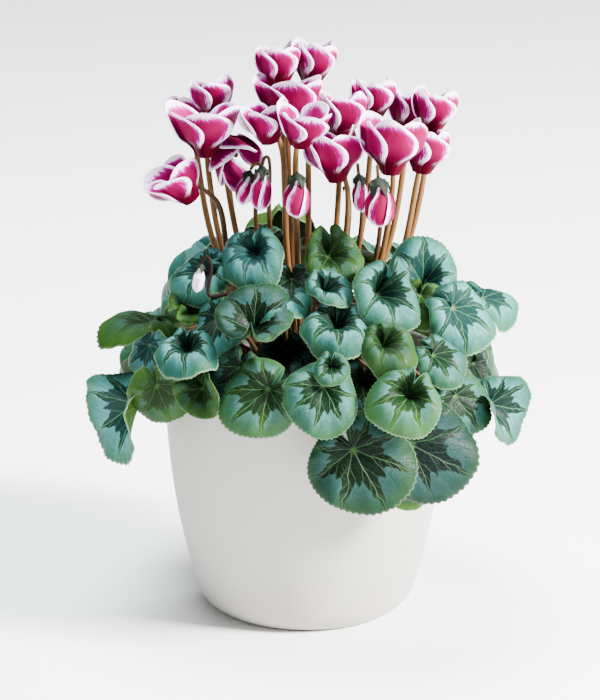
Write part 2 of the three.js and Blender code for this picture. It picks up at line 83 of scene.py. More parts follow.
# Blade forms: lift round the stem, droop of the margin, stand of the back lobes, fold along the
# midrib, depth and number of the waves
FORMS = {
    "flat": (0.07, 0.12, 0.05, 0, 0.05, 5),
    "open": (0.24, 0.3, 0.14, 0, 0.08, 5),
    "funnel": (0.62, 0.5, 0.24, 0, 0.09, 4),
    "cup": (0.7, 0.3, 0.3, 0, 0.08, 3),
    "scoop": (0.42, 0.24, 0.6, 0, 0.07, 4),
    "fold": (0.05, 0.12, 0.1, 0.65, 0.06, 4),
    "wavy": (0.22, 0.32, 0.12, 0, 0.16, 3),
}

# Leaf tones: how silver the outer zone is, how yellow-green, how blue, and how light; the lightness is
# partly the leaf's own tone and partly painted light and shade, set leaf by leaf to how brightly each is
# lit
TONES = {
    "dark": (0.5, 0, 0, 0.6),
    "mid": (0.8, 0.08, 0.05, 1),
    "silver": (1, 0, 0.2, 1.25),
    "blue": (0.9, 0, 0.6, 1.35),
    "frost": (1, 0, 0.4, 1.75),
    "deep": (0.5, 0, 0.15, 0.42),
    "lime": (0.35, 0.75, 0, 1),
    "leafy": (0.8, 0.28, 0, 1),
    "olive": (0.4, 0.5, 0, 0.85),
    "plain": (0.5, 0.8, 0, 0.72),
}

# Leaves: node, where the stem meets the blade (x, y, z), the way its upper face looks (azimuth and
# elevation), the turn of its tip, its length, form, phase, tone
LEAVES = [
    ("leaf_front_low", 25, -108, 127, -90, 12, 30, 39, "flat", 0, "dark"),
    ("leaf_front_low_right", 56, -96, 126, -76, 12, 60, 40, "flat", 1, "deep"),
    ("leaf_low_green", 58, -84, 101, -70, 8, 0, 18, "open", 2, "lime"),
    ("leaf_front_right", 55, -101, 155, -84, 38, -30, 27, "funnel", 2, "leafy"),
    ("leaf_front_mid", 9, -103, 161, -88, 26, -12, 28, "open", 3, "mid"),
    ("leaf_front_mid", 13, -98, 171, -85, 30, 0, 13, "cup", 2, "mid"),
    ("leaf_front_left", -20, -96, 157, -100, 26, -44, 30, "wavy", 1, "leafy"),
    ("leaf_centre_rim", 16, -71, 182, -85, 66, 0, 27, "funnel", 0, "silver"),
    ("leaf_centre_left", -28, -75, 182, -95, 42, 178, 29, "scoop", 2, "dark"),
    ("leaf_left_outer", -45, -58, 186, -125, 38, 0, 25, "open", 4, "silver"),
    ("leaf_left_back", -49, -32, 200, -125, 52, -60, 26, "funnel", 1, "frost"),
    ("leaf_top_left", -27, -35, 214, -110, 52, 0, 26, "funnel", 3, "blue"),
    ("leaf_top_mid", 12, -38, 214, -75, 52, 10, 23, "scoop", 5, "olive"),
    ("leaf_centre_left", -15, -57, 196.5, -100, 78, 20, 23, "open", 2, "silver"),
    ("leaf_top_mid", 9, -60, 199, -70, 66, 20, 18, "cup", 4, "silver"),
    ("leaf_centre_left", -8, -46, 204, -90, 62, 0, 21, "open", 1, "mid"),
    ("leaf_top_right", 37, -51.5, 196, -50, 42, -20, 29, "cup", 0, "silver"),
    ("leaf_back_right", 65, -12, 190, -85, 38, 178, 28, "funnel", 1, "frost"),
    ("leaf_right_big", 80, -38, 185, -62, 44, 40, 30, "wavy", 2, "frost"),
    ("leaf_right_big", 98, -10, 182, -30, 62, 30, 24, "wavy", 0, "frost"),
    ("leaf_right_green", 63, -30, 190, -80, 50, -20, 21, "open", 3, "lime"),
    ("leaf_right_toothed", 68, -77, 170, -55, 50, 40, 23, "open", 5, "mid"),
    ("leaf_right_under", 41, -82, 176, -75, 54, 20, 23, "funnel", 1, "olive"),
    ("leaf_right_low", 101, -52, 134, -40, 30, 20, 27, "fold", 3, "silver"),
    ("leaf_right_low", 81, -70, 145, -60, 20, 30, 26, "flat", 0, "mid"),
    ("leaf_right_edge", 92, -34, 152, -40, 28, 0, 20, "open", 4, "dark"),
    ("leaf_left_hang", -93, -45, 131, -150, 26, 0, 36, "fold", 2, "frost"),
    ("leaf_left_hang", -82, -63, 149, -80, -14, 20, 26, "wavy", 1, "plain"),
    ("leaf_left_small", -56, -79, 152, -130, 30, 30, 18, "fold", 3, "olive"),
    ("leaf_left_silver", -64, -72, 168, -105, 72, 10, 24, "funnel", 0, "silver"),
    ("leaf_left_far", -86, -44, 166, -130, 18, 0, 20, "flat", 5, "blue"),
    ("leaf_left_far", -84, -23, 170, -120, 92, -66, 32, "wavy", 3, "olive"),
    ("leaf_left_back", -62, -38, 182, -110, 40, 150, 22, "scoop", 2, "lime"),
    # These three blades fill gaps in the mound; their dark tone is partly the leaves' own and partly
    # painted shade where the mound is shadowed
    ("leaf_gap_dark", -36, -80, 164.5, -105, 20, -10, 22, "flat", 2, "dark"),
    ("leaf_gap_right", 30, -73, 155.5, -83, 22, -1, 23, "cup", 1, "dark"),
    ("leaf_inner_front", -11, -67, 169, -90, 58, 0, 25, "open", 1, "dark"),
    ("leaf_rear_top_right", 27, 41, 196, 60, 62, 0, 31, "open", 1, "silver"),
    ("leaf_rear_top_left", -25, 41.5, 199, 120, 62, 10, 31, "open", 3, "mid"),
    ("leaf_rear_upper_right", 68, 28, 175, 24, 44, -10, 33, "funnel", 4, "silver"),
    ("leaf_rear_upper_mid", 10, 76, 183, 85, 44, -20, 35, "open", 0, "mid"),
    ("leaf_rear_upper_left", -55, 53.5, 176, 140, 40, 0, 37, "funnel", 1, "blue"),
    ("leaf_rear_mid_right", 64, 76, 156, 50, 26, 10, 38, "wavy", 3, "mid"),
    ("leaf_rear_mid", 0, 100, 155, 90, 26, -15, 38, "open", 1, "dark"),
    ("leaf_rear_upper_left", -62, 82, 156, 130, 26, 10, 38, "open", 4, "silver"),
    ("leaf_rear_far_left", -93, 23, 148, 164, 22, 10, 33, "open", 2, "mid"),
    ("leaf_rear_upper_right", 96, 26, 146, 14, 22, -10, 33, "open", 2, "mid"),
    ("leaf_rear_mid_right", 48, 100, 124, 64, 8, 0, 37, "flat", 5, "dark"),
    ("leaf_rear_mid", -36, 104, 123, 110, 9, -20, 38, "flat", 1, "mid"),
    ("leaf_rear_mid_right", 55, 62, 181, 52, 42, 10, 31, "open", 0, "silver"),
    ("leaf_rear_mid", -30, 83, 178, 112, 42, -10, 30, "open", 2, "mid"),
    ("leaf_rear_far_left", -76, 25, 168, 160, 44, 0, 26, "open", 4, "silver"),
    ("leaf_rear_upper_left", -86, 72, 124, 138, 10, 0, 36, "flat", 2, "dark"),
    ("leaf_rear_mid_right", 95, 60, 127, 33, 12, 0, 34, "flat", 4, "mid"),
    ("leaf_rear_top_left", -13, 55, 201, 100, 58, 0, 28, "funnel", 2, "lime"),
]

# Blooms: node, the mouth (x, y, z), the way the petals lean (azimuth and angle from upright), the
# side that the stem comes in on, petal length, flare of the tips
BLOOMS = [
    ("bloom_far_left", -64, -22, 245, 190, 40, 10, 21, 1.2),
    ("bloom_left_top", -50, 14, 284, 160, 14, 90, 19, 0.5),
    ("bloom_left_back", -65, 32, 271, 180, 10, 90, 19, 0.5),
    ("bloom_left", -55, -17.5, 269, 180, 4, 90, 26, 1.2),
    ("bloom_left_low", -45, 3.5, 268, -60, 116, 90, 23, 0.8),
    ("bloom_upper", -15, 12, 302, 170, 6, 90, 20, 0.4),
    ("bloom_top_right", 3, 26, 300, 20, 6, 90, 21, 0.4),
    ("bloom_upper", -10, -4, 282, 90, 4, 90, 25, 1.2),
    ("bloom_centre_left", -20, -26, 279, 200, 14, 60, 20, 0.6),
    ("bloom_centre", -3, -39, 280, -60, 12, 100, 20, 1.1),
    ("bloom_right_mid", 19, 8, 272, 90, 4, 90, 24, 0.5),
    ("bloom_right_low", 17, -22, 256, 170, 8, 60, 26, 0.4),
    ("bloom_right_mid", 37, 22, 280, 80, 6, 90, 20, 0.5),
    ("bloom_right_front", 46.5, -26, 261, 60, 4, 80, 29, 0.6),
    ("bloom_right_back", 57, 33, 271, 70, 8, 90, 20, 0.4),
    ("bloom_far_right", 70, 12, 276, 10, 6, 90, 21, 0.4),
    ("bloom_right_behind", 64.5, -3, 256, 10, 8, 100, 22, 0.3),
]

# Closed buds: node, the top of the calyx (x, y, z), the way they hang (azimuth and angle from
# straight down), the side that the stem comes in on, length, greatest radius
BUDS = [
    ("bud_centre", -5, -42, 263, -90, 4, 90, 25, 7.5),
    ("bud_right", 39, -48, 262, 20, 4, 90, 28, 8.5),
    ("bud_left", -24, -30, 264, -110, 8, 60, 25, 6),
    ("bud_left_low", -31, -14, 257, 190, 14, 20, 20, 5),
    ("bud_right_behind", 29, -10, 254, 0, 6, 90, 22, 5),
    ("bud_small", -57, -54, 215, 215, 12, 0, 16, 3.4),
]
# Share of the way down a bud, and its radius as a share of the greatest
BUD_COURSE = [(0, 0.12), (0.06, 0.36), (0.2, 0.5), (0.45, 0.95), (0.72, 1), (0.92, 0.55), (1, 0.04)]

# Points that a flower stem passes through instead of its own course, and the spent stem's end
DETOURS = {"bud_small": [(-14, -34, 172), (-36, -52, 198)]}
SPENT_LOW, SPENT_TIP = (24, -6, 236), (22, -8, 247)

# The throat's wall from its outer rim to its closed top: radius and height from the mouth
THROAT_WALL = [(4.75, -1.6), (4.75, -2.5), (4.3, -2.9), (3.5, -2.5)]
THROAT_WALL += [(3.0, -1.2), (2.7, 0.6), (1.8, 2.2), (0.05, 2.7)]
STYLE_RADII = [0.5, 0.5, 0.5, 0.45, 0.42, 0.4, 0.5, 0.42]

# Plain mottled materials: specular level, roughness, the noise's scale, detail and roughness, its
# two colours, and the bump's strength and depth in millimetres
MOTTLED = {
    "throat": (0.1, 0.5, (900, 2), (0.018, 0, 0.001), (0.05, 0, 0.006), (0.2, 0.2)),
    "calyx": (0.15, 0.65, (700, 3), (0.001, 0.004, 0.002), (0.009, 0.017, 0.007), (0.4, 0.3)),
    "corm_skin": (0.25, 0.85, (120, 6, 0.7), (0.05, 0.025, 0.014), (0.2, 0.11, 0.06), (0.8, 1)),
}

# The camera stands where the photograph's stood: metres, degrees and millimetres of lens
CAMERA_PLACE, CAMERA_TILT, CAMERA_LENS = (-0.0034, -1.9, 0.748), 72.5, 181.4

# Studio lights: name, place, what it aims at, width, watts, tint
LIGHTS = [
    ("key", (2.0, -0.75, 1.35), (0, 0, 0.18), 0.7, 560, (1, 0.985, 0.96)),
    ("top", (-0.2, 0.2, 1.8), (0, 0, 0.2), 1, 120, (0.92, 0.97, 1)),
    ("fill", (-1.6, -1.4, 0.9), (0, 0, 0.2), 1.4, 4, (0.95, 0.98, 1)),
]
WORLD_TINT, WORLD_STRENGTH = (0.97, 0.985, 1, 1), 0.27


# Vectors and curves


def direction(azimuth, elevation):
    a, e = math.radians(azimuth), math.radians(elevation)
    return np.array([math.cos(a) * math.cos(e), math.sin(a) * math.cos(e), math.sin(e)])


def unit(vector):
    return vector / np.linalg.norm(vector)


def side_axes(axis, side):
    """The axis, a unit vector square to it on the side of an azimuth, and the one across both."""
    towards = direction(side, 0)
    towards = unit(towards - axis * (towards @ axis))
    return axis, towards, np.cross(axis, towards)


def around(origin, axes, turn, radius, height):
    """Points so far from an axis, at a turn round it, and so high along it. The axes are the axis,
    the direction of turn 0 and that of a quarter turn."""
    axis, towards, across = axes
    turn, radius, height = (np.asarray(values)[..., None] for values in (turn, radius, height))
    return origin + radius * (np.cos(turn) * towards + np.sin(turn) * across) + height * axis


def full_turn(count):
    return np.linspace(0, 2 * math.pi, count, endpoint=False)


def crossed(rows, columns):
    return np.meshgrid(rows, columns, indexing="ij")


def smoothstep(x, low, high):
    t = np.clip((x - low) / (high - low), 0, 1)
    return t * t * (3 - 2 * t)


def course_at(rows, t):
    """Smooth values between the rows of a table whose first column is the position."""
    rows = np.array(rows, float)
    x, y = rows[:, 0], rows[:, 1:]
    slope = np.gradient(y, x, axis=0)
    k = np.clip(np.searchsorted(x, t) - 1, 0, len(x) - 2)
    span = (x[k + 1] - x[k])[:, None]
    f = (t - x[k])[:, None] / span
    a, b, c, d = 2 * f**3 - 3 * f**2 + 1, f**3 - 2 * f**2 + f, 3 * f**2 - 2 * f**3, f**3 - f**2
    return a * y[k] + b * span * slope[k] + c * y[k + 1] + d * span * slope[k + 1]


def between(first, second, t, start, end):
    """The place at t on the line that is at first when t is start and at second when t is end."""
    return ((end - t) * first + (t - start) * second) / (end - start)


def smooth_path(points, steps):
    """A centripetal curve through the points, with so many steps between each two."""
    p = [np.array(q, float) for q in points]
    p = [2 * p[0] - p[1]] + p + [2 * p[-1] - p[-2]]
    out = []
    for i in range(1, len(p) - 2):
        knots = [0.0]
        for j in range(3):
            knots.append(knots[-1] + max(np.linalg.norm(p[i + j] - p[i + j - 1]), 1e-6) ** 0.5)
        for t in np.linspace(knots[1], knots[2], steps, endpoint=False):
            level = p[i - 1 : i + 3]
            for reached in (1, 2):
                pairs = zip(level, level[1:], knots, knots[reached:])
                level = [between(a, b, t, start, end) for a, b, start, end in pairs]
            out.append(between(*level, t, knots[1], knots[2]))
    out.append(p[-2])
    return np.array(out)


# Meshes


def new_object(name, data):
    made = bpy.data.objects.new(name, data)
    bpy.context.scene.collection.objects.link(made)
    return made


class Sheet:
    """Points, faces and point attributes gathered for one object."""

    def __init__(self):
        self.points, self.faces, self.materials = [], [], []
        self.attributes = {}
        self.count = 0

    def add(self, points, faces, material=0, **attributes):
        self.points.append(np.asarray(points, float))
        self.faces += [tuple(i + self.count for i in face) for face in faces]
        self.materials += [material] * len(faces)
        for name, values in attributes.items():
            values = np.broadcast_to(np.asarray(values, float), (len(points), 3))
            self.attributes.setdefault(name, []).append(values)
        self.count += len(points)

    def build(self, name, materials, slot, nodes=()):
        """Makes the object, which rides on the root and replaces the nodes."""
        mesh = bpy.data.meshes.new(name)
        points = np.concatenate(self.points) * MM
        mesh.from_pydata(points.tolist(), [], self.faces)
        for material in materials:
            mesh.materials.append(material)
        mesh.polygons.foreach_set("material_index", self.materials)
        mesh.polygons.foreach_set("use_smooth", [True] * len(self.faces))
        for attribute, values in self.attributes.items():
            data = mesh.attributes.new(attribute, "FLOAT_VECTOR", "POINT")
            data.data.foreach_set("vector", np.concatenate(values).ravel())
        mesh.update()
        piece = new_object(name, mesh)
        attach(piece, "root")
        if nodes:
            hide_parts(*nodes)


def strip_faces(rows, columns, closed=False, flip=False, first=0):
    """Quads of a grid of points, row after row, closed round its columns or open."""
    faces = []
    for start in range(first, first + (rows - 1) * columns, columns):
        for column in range(columns if closed else columns - 1):
            a, b = start + column, start + (column + 1) % columns
            quad = (a, b, b + columns, a + columns)
            faces.append(quad[::-1] if flip else quad)
    return faces


def lathe(sheet, profile, sides):
    """A surface of revolution about Z."""
    radius, height = np.array(profile, float).T[..., None]
    points = around(0, UPRIGHT, full_turn(sides), radius, height).reshape(-1, 3)
    sheet.add(points, strip_faces(len(profile), sides, closed=True))


def rounded(profile, radius, steps=4):
    """The profile with each inner corner rounded off."""
    p = [np.array(q, float) for q in profile]
    out = [p[0]]
    for before, corner, after in zip(p, p[1:], p[2:]):
        a, b = before - corner, after - corner
        cut = min(radius, np.linalg.norm(a) * 0.45, np.linalg.norm(b) * 0.45)
        start, end = corner + unit(a) * cut, corner + unit(b) * cut
        for t in np.linspace(0, 1, steps + 1):
            out.append((1 - t) ** 2 * start + 2 * t * (1 - t) * corner + t**2 * end)
    out.append(p[-1])
    return out


def tube(sheet, path, radii, sides, material=0, tone=(0, 0, 0)):
    """A round tube along a path, closed by a point at each end. Its course attribute holds the share
    of the way along, the distance along in millimetres and the turn."""
    count = len(path)
    steps = np.linalg.norm(np.diff(path, axis=0), axis=1)
    along = np.concatenate([[0], np.cumsum(steps)])
    ahead = np.gradient(path, axis=0)
    ahead /= np.linalg.norm(ahead, axis=1)[:, None]
    across = unit(np.cross(ahead[0], [0.31, 0.9, 0.2]))
    turns = full_turn(sides)
    points, course = [path[0]], [(0, 0, 0)]
    for i in range(count):
        across = unit(across - ahead[i] * (across @ ahead[i]))
        axes = ahead[i], across, np.cross(ahead[i], across)
        points += list(around(path[i], axes, turns, radii[i], 0))
        course += [(along[i] / along[-1], along[i], turn) for turn in turns]
    points.append(path[-1])
    course.append((1, along[-1], 0))
    faces = strip_faces(count, sides, closed=True, first=1)
    last = len(points) - 1
    for side in range(sides):
        following = (side + 1) % sides
        faces.append((0, 1 + following, 1 + side))
        faces.append((last, last - sides + side, last - sides + following))
    sheet.add(points, faces, material, course=course, tone=tone)


# Materials


class Paint:
    """A node material with a Principled shader, and short calls for the nodes that feed it."""

    def __init__(self, name, **values):
        self.material = bpy.data.materials.new(name)
        self.material.use_nodes = True
        self.tree = self.material.node_tree
        self.shader = self.tree.nodes["Principled BSDF"]
        for socket, value in values.items():
            self.shader.inputs[socket.replace("_", " ")].default_value = value

    def node(self, kind, **settings):
        made = self.tree.nodes.new(kind)
        for key, value in settings.items():
            setattr(made, key, value)
        return made

    def plug(self, socket, value):
        if isinstance(value, bpy.types.NodeSocket):
            self.tree.links.new(value, socket)
        else:
            socket.default_value = value

    def fed(self, made, *values):
        """The result of a node, with the values in its first inputs."""
        for socket, value in zip(made.inputs, values):
            self.plug(socket, value)
        return made.outputs[0]

    def math(self, operation, *values):
        return self.fed(self.node("ShaderNodeMath", operation=operation), *values)

    def plus(self, first, second):
        return self.math("ADD", first, second)

    def minus(self, first, second):
        return self.math("SUBTRACT", first, second)

    def times(self, first, second):
        return self.math("MULTIPLY", first, second)

    def times_plus(self, first, second, third):
        return self.math("MULTIPLY_ADD", first, second, third)

    def absolute(self, value):
        return self.math("ABSOLUTE", value)

    def distance(self, x, y):
        return self.math("SQRT", self.plus(self.times(x, x), self.times(y, y)))

    def step(self, value, low, high, to_low=0.0, to_high=1.0):
        made = self.node("ShaderNodeMapRange", interpolation_type="SMOOTHSTEP")
        return self.fed(made, value, low, high, to_low, to_high)

    def mix(self, factor, first, second, blend="MIX"):
        made = self.node("ShaderNodeMix", data_type="RGBA", blend_type=blend, clamp_factor=True)
        for socket, item in ((0, factor), (6, first), (7, second)):
            self.plug(made.inputs[socket], (*item, 1) if isinstance(item, tuple) else item)
        return made.outputs[2]

    def attribute(self, name):
        made = self.node("ShaderNodeAttribute", attribute_name=name)
        split = self.node("ShaderNodeSeparateXYZ")
        self.tree.links.new(made.outputs["Vector"], split.inputs[0])
        return split.outputs

    def vector(self, x, y, z):
        return self.fed(self.node("ShaderNodeCombineXYZ"), x, y, z)

    def place(self):
        return self.node("ShaderNodeTexCoord").outputs["Object"]

    def noise(self, vector, scale, detail=2.0, roughness=0.5):
        made = self.node("ShaderNodeTexNoise")
        values = {"Vector": vector, "Scale": scale, "Detail": detail, "Roughness": roughness}
        for socket, value in values.items():
            self.plug(made.inputs[socket], value)
        return made.outputs["Fac"]

    def cells(self, vector, scale):
        made = self.node("ShaderNodeTexVoronoi", feature="DISTANCE_TO_EDGE")
        self.plug(made.inputs["Vector"], vector)
        made.inputs["Scale"].default_value = scale
        return made.outputs["Distance"]

    def colour(self, value):
        self.plug(self.shader.inputs["Base Color"], value)

    def roughness(self, value):
        self.plug(self.shader.inputs["Roughness"], value)

    def bump(self, height, strength, distance_mm):
        made = self.node("ShaderNodeBump")
        made.inputs["Strength"].default_value = strength
        made.inputs["Distance"].default_value = distance_mm * MM
        self.plug(made.inputs["Height"], height)
        self.plug(self.shader.inputs["Normal"], made.outputs[0])


def leaf_material():
    """Dark centre that runs out along branching pale veins, rounded silver scallops between them,
    a green outer band and a thin pale margin. The blade attribute is the place on the blade and the
    tone attribute holds silver, yellow-green and blue; the shade attribute holds lightness, partly the
    leaf's own tone and partly painted light and shade, and seed."""
    paint = Paint("leaf_upper", Specular_IOR_Level=0.07)
    x, y, _ = paint.attribute("blade")
    silver, lime, blue = paint.attribute("tone")
    light, seed, _ = paint.attribute("shade")
    place = paint.vector(x, y, seed)
    drift = paint.minus(paint.noise(place, 3.2, 2), 0.5)
    ripple = paint.minus(paint.noise(place, 9.0, 3), 0.5)
    share = paint.distance(x, y)
    angle = paint.math("ARCTAN2", y, x)
    bent = paint.times_plus(drift, 0.26, angle)
    cusp = paint.absolute(paint.math("SINE", paint.times(bent, VEIN_WAVES)))

    sector = paint.math("DIVIDE", bent, VEIN_GAP)
    beside = paint.absolute(paint.minus(sector, paint.math("ROUND", sector)))
    across = paint.times(paint.times(beside, VEIN_GAP), share)
    bubble = paint.absolute(paint.math("SINE", paint.times(bent, 2 * VEIN_WAVES)))
    finger = paint.math("POWER", paint.minus(1, cusp), 1.3)
    circle = paint.vector(paint.math("COSINE", angle), paint.math("SINE", angle), seed)
    finger = paint.times(finger, paint.step(paint.noise(circle, 2.2, 2), 0.3, 0.7, 0.26, 0.5))
    edge = paint.times_plus(bubble, -0.12, paint.plus(finger, 0.57))
    off = paint.times_plus(ripple, 0.2, paint.minus(share, edge))
    zone = paint.step(off, -0.02, 0.03)

    veins = paint.step(across, 0.002, 0.011, 1, 0)
    for start, slope in ((0.26, 0.5), (0.48, 0.42), (0.68, 0.36)):
        beyond = paint.math("MAXIMUM", paint.minus(share, start), 0)
        line = paint.absolute(paint.times_plus(beyond, -slope, across))
        branch = paint.times(paint.step(line, 0.001, 0.007, 0.55, 0), paint.step(beyond, 0, 0.01))
        veins = paint.math("MAXIMUM", veins, branch)
    fine = paint.step(paint.cells(place, 11), 0, 0.06, 1, 0)

    mottled = paint.noise(place, 14, 4, 0.6)
    patchy = paint.noise(place, 2.4, 2)
    dark = paint.mix(mottled, (0, 0.003, 0.001), (0.001, 0.011, 0.004))
    # The pale zone's light end is tinted blue, partly the silver's own tint and partly painted sky
    # reflection
    pale = paint.mix(mottled, (0.006, 0.075, 0.06), (0.06, 0.22, 0.22))
    pale = paint.mix(paint.step(off, 0.02, 0.26, 0.55, 0), pale, (0.1, 0.29, 0.27))
    colour = paint.mix(paint.times(zone, silver), dark, pale)
    band = paint.times_plus(drift, 0.5, paint.step(share, 0.7, 0.95, 0, 0.72))
    limed = paint.plus(lime, paint.step(patchy, 0.4, 0.7, 0, 0.5))
    green = paint.mix(limed, (0.004, 0.045, 0.012), (0.035, 0.11, 0.008))
    colour = paint.mix(band, colour, green)
    colour = paint.mix(paint.times(fine, paint.times_plus(zone, 0.3, 0.1)), colour, (0.01, 0.06, 0.035))
    line_tint = paint.mix(zone, (0.07, 0.19, 0.075), (0.003, 0.024, 0.012))
    colour = paint.mix(paint.times(veins, paint.times_plus(zone, -0.3, 0.8)), colour, line_tint)
    colour = paint.mix(paint.step(share, 0.12, 0, 0, 0.7), colour, (0.1, 0.2, 0.06))
    yellowed = paint.times(lime, paint.step(patchy, 0.3, 0.6, 0.6, 1))
    outer = paint.step(share, 0.35, 0.8, 0.25, 1)
    colour = paint.mix(paint.times(yellowed, outer), colour, (0.045, 0.12, 0.008))
    colour = paint.mix(paint.times(blue, 0.5), colour, (0.01, 0.055, 0.075))
    colour = paint.mix(paint.step(share, 0.972, 0.994, 0, 0.5), colour, (0.2, 0.32, 0.17))
    # The leaf's lightness, partly its own tone and partly painted light and shade, multiplies the colour
    colour = paint.mix(1, colour, paint.vector(light, light, light), "MULTIPLY")
    paint.colour(colour)
    paint.roughness(paint.step(mottled, 0.2, 0.8, 0.36, 0.52))
    height = paint.minus(paint.times(mottled, 0.5), veins)
    paint.bump(paint.times_plus(fine, -0.35, height), 0.5, 0.5)
    return paint.material


def leaf_under_material():
    """The pale yellow-green underside, with raised reddish veins."""
    paint = Paint("leaf_under", Specular_IOR_Level=0.12)
    x, y, _ = paint.attribute("blade")
    light, seed, _ = paint.attribute("shade")
    place = paint.vector(x, y, seed)
    share = paint.distance(x, y)
    turn = paint.times(paint.math("ARCTAN2", y, x), VEIN_WAVES)
    cusp = paint.absolute(paint.math("SINE", turn))
    veins = paint.step(paint.times(cusp, share), 0.015, 0.07, 1, 0)
    mottled = paint.noise(place, 7, 4, 0.6)
    colour = paint.mix(mottled, (0.012, 0.045, 0.004), (0.045, 0.1, 0.01))
    colour = paint.mix(paint.times(veins, 0.5), colour, (0.07, 0.11, 0.02))
    # The leaf's lightness, partly its own tone and partly painted light and shade, multiplies the colour
    colour = paint.mix(1, colour, paint.vector(light, light, light), "MULTIPLY")
    paint.colour(colour)
    paint.roughness(0.55)
    paint.bump(paint.plus(veins, mottled), 0.4, 0.4)
    return paint.material


def petal_material(name, margin_mm):
    """Crimson at the throat, magenta pink above it, and a white margin that feathers into the pink.
    The petal attribute holds the place across (-1 to 1), the share up and the distance to the margin
    in millimetres; the tone attribute holds a seed, paleness and the face."""
    paint = Paint(name, Specular_IOR_Level=0.02)
    across, up, margin = paint.attribute("petal")
    seed, pale, face = paint.attribute("tone")
    broad = paint.vector(paint.times(across, 5.5), paint.times(up, 1.6), seed)
    narrow = paint.vector(paint.times(across, 26), paint.times(up, 2.2), seed)
    streaks, hairs = paint.noise(broad, 2.2, 4, 0.6), paint.noise(narrow, 2, 3, 0.6)
    cloud = paint.noise(paint.vector(across, up, seed), 2.2, 2)
    shift = paint.times(paint.minus(streaks, 0.5), 7.0)
    shift = paint.times_plus(paint.minus(hairs, 0.5), 6.0, shift)
    depth = paint.minus(paint.plus(margin, shift), paint.times(pale, 2.0))
    depth = paint.minus(depth, paint.step(up, 0.6, 1, 0, 1))
    white = paint.step(depth, margin_mm * 0.25, margin_mm * 1.15, 1, 0)
    white = paint.times(white, paint.step(up, 0.12, 0.34))
    pink = paint.mix(cloud, (0.1, 0, 0.012), (0.19, 0, 0.055))
    pink = paint.mix(paint.step(up, 0.62, 0.05, 0, 0.85), pink, (0.03, 0, 0.001))
    # Painted light: the inner face is painted a lighter pink, standing in for light shining through the
    # petal and lifting it where it lies in shade
    pink = paint.mix(paint.step(face, 0.5, -0.5, 0, 0.55), pink, (0.25, 0, 0.085))
    soft = paint.step(depth, margin_mm * 0.6, margin_mm * 2.4, 0.8, 0)
    pink = paint.mix(paint.times(soft, paint.step(up, 0.2, 0.5)), pink, (0.42, 0, 0.28))
    colour = paint.mix(white, pink, paint.mix(hairs, (0.84, 0.56, 0.9), (0.96, 0.86, 1)))
    paint.colour(colour)
    paint.roughness(paint.step(hairs, 0.2, 0.8, 0.42, 0.6))
    paint.bump(paint.plus(hairs, streaks), 0.35, 0.25)
    return paint.material


def mottled_material(name):
    """Two tones mottled by one noise, which also roughens the surface."""
    specular, roughness, noise, low, high, bump = MOTTLED[name]
    paint = Paint(name, Roughness=roughness, Specular_IOR_Level=specular)
    tint = paint.noise(paint.place(), *noise)
    paint.colour(paint.mix(tint, low, high))
    paint.bump(tint, *bump)
    return paint.material


def stem_material(name, low, high, flush):
    """A fleshy stem: two tones that run lengthways, a flush towards the foot and fine streaks. The
    tone attribute holds a seed and how dark the stem is."""
    paint = Paint(name, Specular_IOR_Level=0.1)
    along, distance, turn = paint.attribute("course")
    seed, dark, _ = paint.attribute("tone")
    circle = (paint.math("SINE", turn), paint.math("COSINE", turn))
    stretched = paint.vector(*circle, paint.times_plus(distance, 0.02, seed))
    streak = paint.noise(stretched, 2.6, 4, 0.6)
    patch = paint.noise(paint.vector(paint.times(distance, 0.05), seed, 0), 2.0, 3)
    colour = paint.mix(streak, low, high)
    reddened = paint.step(paint.times_plus(patch, 0.6, along), 1, 0.2, 0, 0.7)
    colour = paint.mix(reddened, colour, flush)
    colour = paint.mix(dark, colour, (0.006, 0.002, 0.001))
    paint.colour(colour)
    paint.roughness(paint.step(streak, 0.2, 0.8, 0.42, 0.6))
    paint.bump(streak, 0.35, 0.25)
    return paint.material


def pot_material():
    """Matt warm white with a very faint mottling and a fine grain."""
    paint = Paint("pot_matt", Specular_IOR_Level=0.4)
    place = paint.place()
    cloud = paint.noise(place, 14, 4, 0.6)
    grain = paint.noise(place, 1500, 2)
    specks = paint.step(paint.noise(place, 520, 1), 0.7, 0.78, 0, 0.06)
    colour = paint.mix(cloud, (0.335, 0.323, 0.303), (0.38, 0.368, 0.346))
    paint.colour(paint.mix(specks, colour, (0.24, 0.225, 0.2)))
    paint.roughness(paint.step(cloud, 0.3, 0.7, 0.5, 0.62))
    paint.bump(paint.times_plus(cloud, 2.0, grain), 0.12, 0.12)
    return paint.material


def liner_material():
    """Thin matt black plastic with some dust of soil on it."""
    paint = Paint("liner_plastic", Specular_IOR_Level=0.4)
    place = paint.place()
    dust = paint.noise(place, 60, 4, 0.6)
    paint.colour(paint.mix(paint.step(dust, 0.45, 0.75), (0.03, 0.028, 0.026), (0.11, 0.085, 0.065)))
    paint.roughness(paint.step(dust, 0.3, 0.7, 0.45, 0.75))
    paint.bump(paint.noise(place, 1200, 2), 0.2, 0.15)
    return paint.material


def soil_material():
    """Dark crumbly peat with lighter fibres."""
    paint = Paint("peat", Specular_IOR_Level=0.2)
    place = paint.place()
    lumps = paint.noise(place, 160, 6, 0.7)
    colour = paint.mix(lumps, (0.012, 0.007, 0.005), (0.1, 0.06, 0.035))
    fibres = paint.step(paint.noise(place, 420, 2), 0.62, 0.7, 0, 0.7)
    paint.colour(paint.mix(fibres, colour, (0.2, 0.13, 0.08)))
    paint.roughness(0.95)
    paint.bump(lumps, 0.9, 1.4)
    return paint.material


# Leaves


